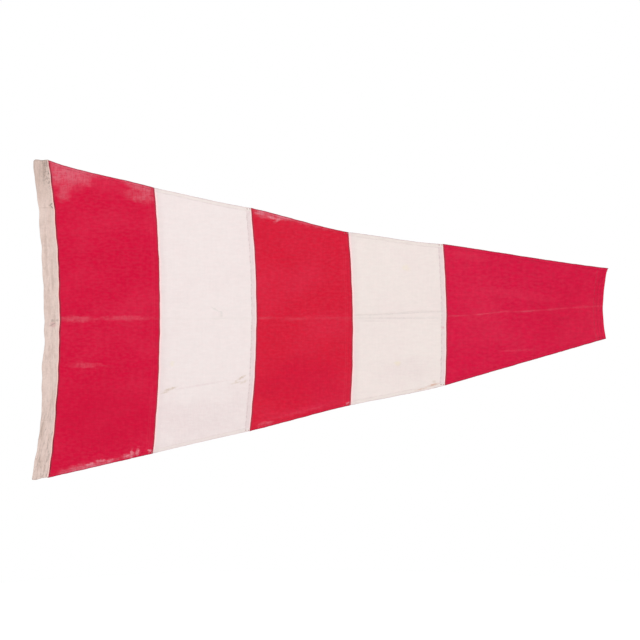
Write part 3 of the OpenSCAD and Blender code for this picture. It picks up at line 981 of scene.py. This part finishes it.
# Marks on each stripe: tint, strength, centre X and Z and half sizes in millimetres, and slope if any. Most
# are wear and stains; the thin WHITE_LINE rows of the fourth stripe are painted shade along its folds.
STRIPE_WEAR_AND_SHADE = [[
    (RED_DEEP, 0.6, 130, -230, 180, 120),
    (RED_FADED, 0.6, 110, 335, 130, 45),
    (RED_WORN, 0.85, 20, 372, 70, 76),
    (RED_WORN, 0.55, 56, 345, 50, 34),
    (RED_WORN, 0.75, 92, 354, 52, 16, -0.25),
    (RED_WORN, 0.45, 30, 300, 22, 30),
    (RED_WORN, 0.7, 214, 318, 50, 18, -0.2),
    (RED_WORN, 0.65, 226, 296, 32, 28),
    (RED_WORN, 0.3, 190, 300, 30, 18),
    (RED_WISP, 0.45, 178, 333, 40, 5, -0.25),
    (RED_WORN, 0.85, 98, -348, 90, 9, 0.235),
    (RED_WORN, 0.6, 56, -355, 50, 11, 0.235),
    (RED_WISP, 0.7, 92, -345, 16, 5, 0.3),
    (RED_WISP, 0.6, 118, -336, 16, 5, 0.1),
    (RED_WISP, 0.6, 142, -335, 14, 4, 0.3),
    (RED_WISP, 0.75, 192, -319, 6, 13, 0.6),
    (RED_WORN, 0.6, 185, -323, 30, 8, 0.235),
    (RED_WISP, 0.75, 206, -315, 6, 13, 0.6),
    (RED_WISP, 0.6, 181, -325, 12, 4, 0.235),
    (RED_WISP, 0.8, 236, -312, 8, 4),
    (RED_WORN, 0.36, 60, 2, 60, 11),
    (RED_WORN, 0.28, 180, 4, 80, 8),
    (RED_WORN, 0.28, 78, -109, 55, 9),
], [
    (WHITE_GREY, 0.45, 370, -245, 240, 85, 0.167),
    (WHITE_GREY, 0.5, 360, -155, 110, 3.5, 0.167),
    (STAIN, 0.9, 284, -165, 22, 4.2, 0.3),
    (STAIN, 0.7, 271, -173, 16, 3.6, 0.3),
    (STAIN, 1.0, 452, -139, 18, 4, 0.55),
    (STAIN, 0.8, 440, -150, 16, 3, 0.25),
    (STAIN, 0.6, 459, -148, 12, 5, 0.4),
    (YELLOWED, 0.6, 288, -106, 8, 10),
    (SMUDGE_AND_SHADE, 0.7, 391, 25, 14, 4, -0.5),
    (SMUDGE_AND_SHADE, 0.7, 405, 13, 6, 11),
], [
    (RED_DEEP, 0.55, 600, -150, 160, 90),
    (RED_WORN, 0.75, 530, 250, 60, 13, -0.22),
    (RED_WORN, 0.7, 500, 253, 24, 16, -0.22),
    (RED_WISP, 0.5, 498, 255, 16, 8, -0.22),
    (RED_WISP, 0.55, 540, 238, 13, 6, 0.5),
    (RED_WISP, 0.6, 528, 243, 20, 4, -0.3),
    (RED_WISP, 0.5, 556, 243, 24, 4, -0.25),
    (RED_WORN, 0.5, 610, 231, 90, 9, -0.25),
    (RED_WORN, 0.42, 506, -248, 24, 7, 0.235),
    (RED_WISP, 0.22, 522, -246, 12, 5, 0.2),
    (RED_WORN, 0.16, 600, -218, 80, 5, 0.25),
    (RED_FADED, 0.35, 600, -215, 90, 14, 0.25),
    (RED_WISP, 0.7, 708, -198, 10, 3, 0.2),
], [
    (YELLOWED, 0.6, 846, 124, 12, 11),
    (YELLOWED, 0.8, 826, -103, 12, 10),
    (WHITE_GREY, 0.3, 850, -120, 100, 40),
    # Painted shade along the folds.
    (WHITE_LINE, 0.55, 830, 15, 150, 2, 0.05),
    (WHITE_LINE, 0.5, 820, 4, 130, 1.8),
    (WHITE_LINE, 0.35, 770, -3, 50, 1.6),
    (ORANGE, 0.8, 912, -155, 20, 4, 0.23),
    (ORANGE, 0.6, 884, -165, 20, 3, 0.23),
    (STAIN, 0.6, 914, -148, 7, 5),
    (RED_WORN, 1.0, 934, -19, 5.5, 6),
], [
    (RED_DEEP, 0.3, 1240, 20, 120, 120),
    (RED_FADED, 0.4, 1000, 150, 70, 12, -0.15),
    (RED_FADED, 0.4, 1120, 60, 120, 16, -0.1),
    (RED_WORN, 0.16, 1116, -73, 60, 4, 0.03),
    (RED_DARK, 0.16, 1217, 3, 12, 8),
]]
# How strongly the lengthwise fold shows in each stripe: as a lighter line on red, and as painted shade on
# white.
CREASE_TINT = [0.1, 0.3, 0.2, 0.42, 0.38]
# Marks on the heading, in the same form.
CANVAS_MARKS = [
    (CANVAS_DIRT_AND_SHADE, 0.6, -12, 372, 8, 10),
    (CANVAS_DIRT_AND_SHADE, 0.5, 3, -2, 6, 4.6),
    (CANVAS_DIRT_AND_SHADE, 0.55, 13, -1, 5, 4.6),
    (CANVAS_PINK, 0.6, 4, -11, 11, 9),
    (CANVAS_DIRT_AND_SHADE, 0.55, 3, -11, 11, 2, 0.55),
    (CANVAS_DIRT_AND_SHADE, 1.0, -1, 275, 6, 3.4, 0.8),
    (CANVAS_DIRT_AND_SHADE, 1.0, 1, 269, 6, 2.6, -0.8),
    (CANVAS_DARK, 0.7, -12, 267, 20, 1.6),
    (CANVAS_DARK, 0.6, -8, 176, 18, 1.6),
    (CANVAS_DARK, 0.7, -18, -239, 22, 1.6),
]

# ---- Pieces ----

RED_THREAD = thread("thread_red", linear(200, 30, 62), linear(170, 40, 62))
CREAM_THREAD = thread("thread_cream", linear(236, 224, 218), linear(214, 192, 188))
TACK_THREAD = thread("thread_tack", linear(176, 128, 124), linear(140, 100, 98))
# Cut sizes, with what is turned in: hems, fells and the fly hem.
HEM_ALLOWANCE = 18 * MM
FELL_ALLOWANCE = 20 * MM
FLY_ALLOWANCE = 34 * MM


def stripe_cut(number):
    """The rectangle a stripe is cut from, and the area of the tapered cut within it."""
    left, right = LINES[number], LINES[number + 1]
    width = right.x(0) - left.x(0) + (HEM if number == 0 else FELL_ALLOWANCE)
    width += FLY_ALLOWANCE if number == LAST else 0
    longer = left.high - left.low + 2 * HEM_ALLOWANCE
    shorter = right.high - right.low + 2 * HEM_ALLOWANCE
    return width, longer, width * (longer + shorter) / 2


def build_heading():
    leaves = ["heading_front_leaf", "heading_back_leaf"]
    made = piece("canvas_heading", [heading_part()], canvas(), leaves)


def build_stripes():
    for number, node in enumerate(STRIPES):
        is_red = number % 2 == 0
        tint = "red" if is_red else "white"
        parts = [main_part(number)] + ([fell_part(number)] if number > 0 else [])
        cloth = bunting(number, is_red)
        made = piece(f"bunting_{tint}_{number + 1}", parts, cloth, [node])
        width, length, area = stripe_cut(number)


def sew(name, parts, is_red, node):
    """One row of sewing, in thread that matches its cloth."""
    material, slot = (RED_THREAD, "red_thread") if is_red else (CREAM_THREAD, "cream_thread")
    piece(name, parts, material, [node])


def build_stitching():
    for row, shift in zip(("edge", "inner"), HEADING_ROWS):
        path = down_line(HOIST, -shift, HEADING_LOW.z + 6 * MM, HEADING_HIGH.z - 3 * MM)
        sew("thread_heading_" + row, both_faces(path, canvas_face), False, f"heading_{row}_stitch")
    for number, seam in enumerate(SEAMS, 1):
        for row, shift in (("edge", EDGE_ROW), ("fell", FELL_ROW)):
            path = down_line(seam, -shift, seam.low + HEM + ROW_GAP, seam.high - HEM - ROW_GAP)
            parts = [row_part(path, stripe_face(number - 1, -1), -1), row_part(path, fell_face(number), 1)]
            sew(f"thread_seam_{number}_{row}", parts, number % 2 == 1, f"seam_{number}_{row}_stitch")
    for place, highest in (("top", True), ("bottom", False)):
        for tint, first in (("red", 0), ("white", 1)):
            parts = []
            for number in range(first, len(STRIPES), 2):
                parts += both_faces(along_edge(number, highest), stripe_face, number)
            sew(f"thread_{place}_hem_{tint}", parts, tint == "red", f"{place}_hem_stitch_{tint}")
    for number, shift in enumerate(FLY_ROWS, 1):
        path = down_line(FLY, -shift, FLY.low + HEM + ROW_GAP, FLY.high - HEM - ROW_GAP)
        sew(f"thread_fly_{number}", both_faces(path, stripe_face, LAST), True, f"fly_stitch_{number}")
    tacks = [part for number in range(1, len(STRIPES)) for part in tack_parts(number)]
    piece("thread_seam_tacks", tacks, TACK_THREAD, ["seam_end_tacks"])


build_heading()
build_stripes()
build_stitching()

# ---- Camera, floor and light ----

FRAME_WIDTH = 1.5264
LENS = 85
SENSOR = 36
CAMERA_SEES = 100
WORLD_LIGHT = 0.42
PURE_WHITE = (1.0, 1.0, 1.0, 1.0)
FLOOR_PALE = (0.93, 0.93, 0.93, 1.0)
FLOOR_ROUGH = 0.9
FLOOR_GLOW = (0.32, 0.8)
FLOOR_RADIUS = 3
FLOOR_DROP = 1.1
# Each lamp's name, place from the middle of the pennant, size and power.
LAMPS = [
    ("key", (-1.5, -2.6, 2.8), 1.6, 72),
    ("fill", (2.6, -3.0, 1.2), 2.2, 25),
    ("back", (0.6, 3.6, 2.2), 2.6, 54),
]


def shine(name, offset, size, power):
    """A large soft lamp, aimed at the middle of the pennant."""
    lamp = bpy.data.lights.new(name, "AREA")
    lamp.shape = "DISK"
    lamp.size = size
    lamp.energy = power
    made = bpy.data.objects.new(name, lamp)
    made.location = middle + Vector(offset)
    made.rotation_euler = (middle - made.location).to_track_quat("-Z", "Y").to_euler()
    bpy.context.scene.collection.objects.link(made)


def light_world():
    """White to the camera, softer as a light."""
    world = bpy.data.worlds.new("studio")
    world.use_nodes = True
    background = world.node_tree.nodes["Background"]
    seen = new_node(world.node_tree, "LightPath").outputs["Is Camera Ray"]
    strength = new_node(world.node_tree, "MapRange", seen, 0.0, 1.0, WORLD_LIGHT, 1.0)
    put(background.inputs["Strength"], strength.outputs[0])
    put(background.inputs["Color"], PURE_WHITE)
    bpy.context.scene.world = world


def floor_material():
    """Pale, and brighter towards the rim, so that it runs into the white round it."""
    pale = bpy.data.materials.new("floor_pale")
    pale.use_nodes = True
    tree = pale.node_tree
    shader = tree.nodes["Principled BSDF"]
    put(shader.inputs["Base Color"], FLOOR_PALE)
    put(shader.inputs["Roughness"], FLOOR_ROUGH)
    put(shader.inputs["Emission Color"], PURE_WHITE)
    place = new_node(tree, "TexCoord").outputs["Object"]
    away = new_node(tree, "VectorMath", place, operation="LENGTH").outputs["Value"]
    ends = (0.4 * FLOOR_RADIUS, 0.8 * FLOOR_RADIUS, *FLOOR_GLOW)
    glow = new_node(tree, "MapRange", away, *ends, interpolation_type="SMOOTHSTEP")
    put(shader.inputs["Emission Strength"], glow.outputs[0])
    return pale


def lay_floor():
    place = (middle.x, 0, middle.z - FLOOR_DROP)
    bpy.ops.mesh.primitive_circle_add(vertices=96, radius=FLOOR_RADIUS, fill_type="NGON", location=place)
    floor = bpy.context.object
    floor.name = "floor"
    floor.data.materials.append(floor_material())


low_corner, high_corner = (Vector(corner) for corner in cad_bounds)
middle = (low_corner + high_corner) / 2
camera = bpy.data.objects.new("camera", bpy.data.cameras.new("camera"))
camera.data.lens = LENS
camera.data.sensor_width = SENSOR
camera.data.clip_end = CAMERA_SEES
camera.location = middle - Vector((0, FRAME_WIDTH * LENS / SENSOR, 0))
camera.rotation_euler = (math.pi / 2, 0, 0)
bpy.context.scene.collection.objects.link(camera)
bpy.context.scene.camera = camera
light_world()
lay_floor()
for name, offset, size, power in LAMPS:
    shine(name, offset, size, power)
bpy.context.scene.view_settings.view_transform = "Standard"
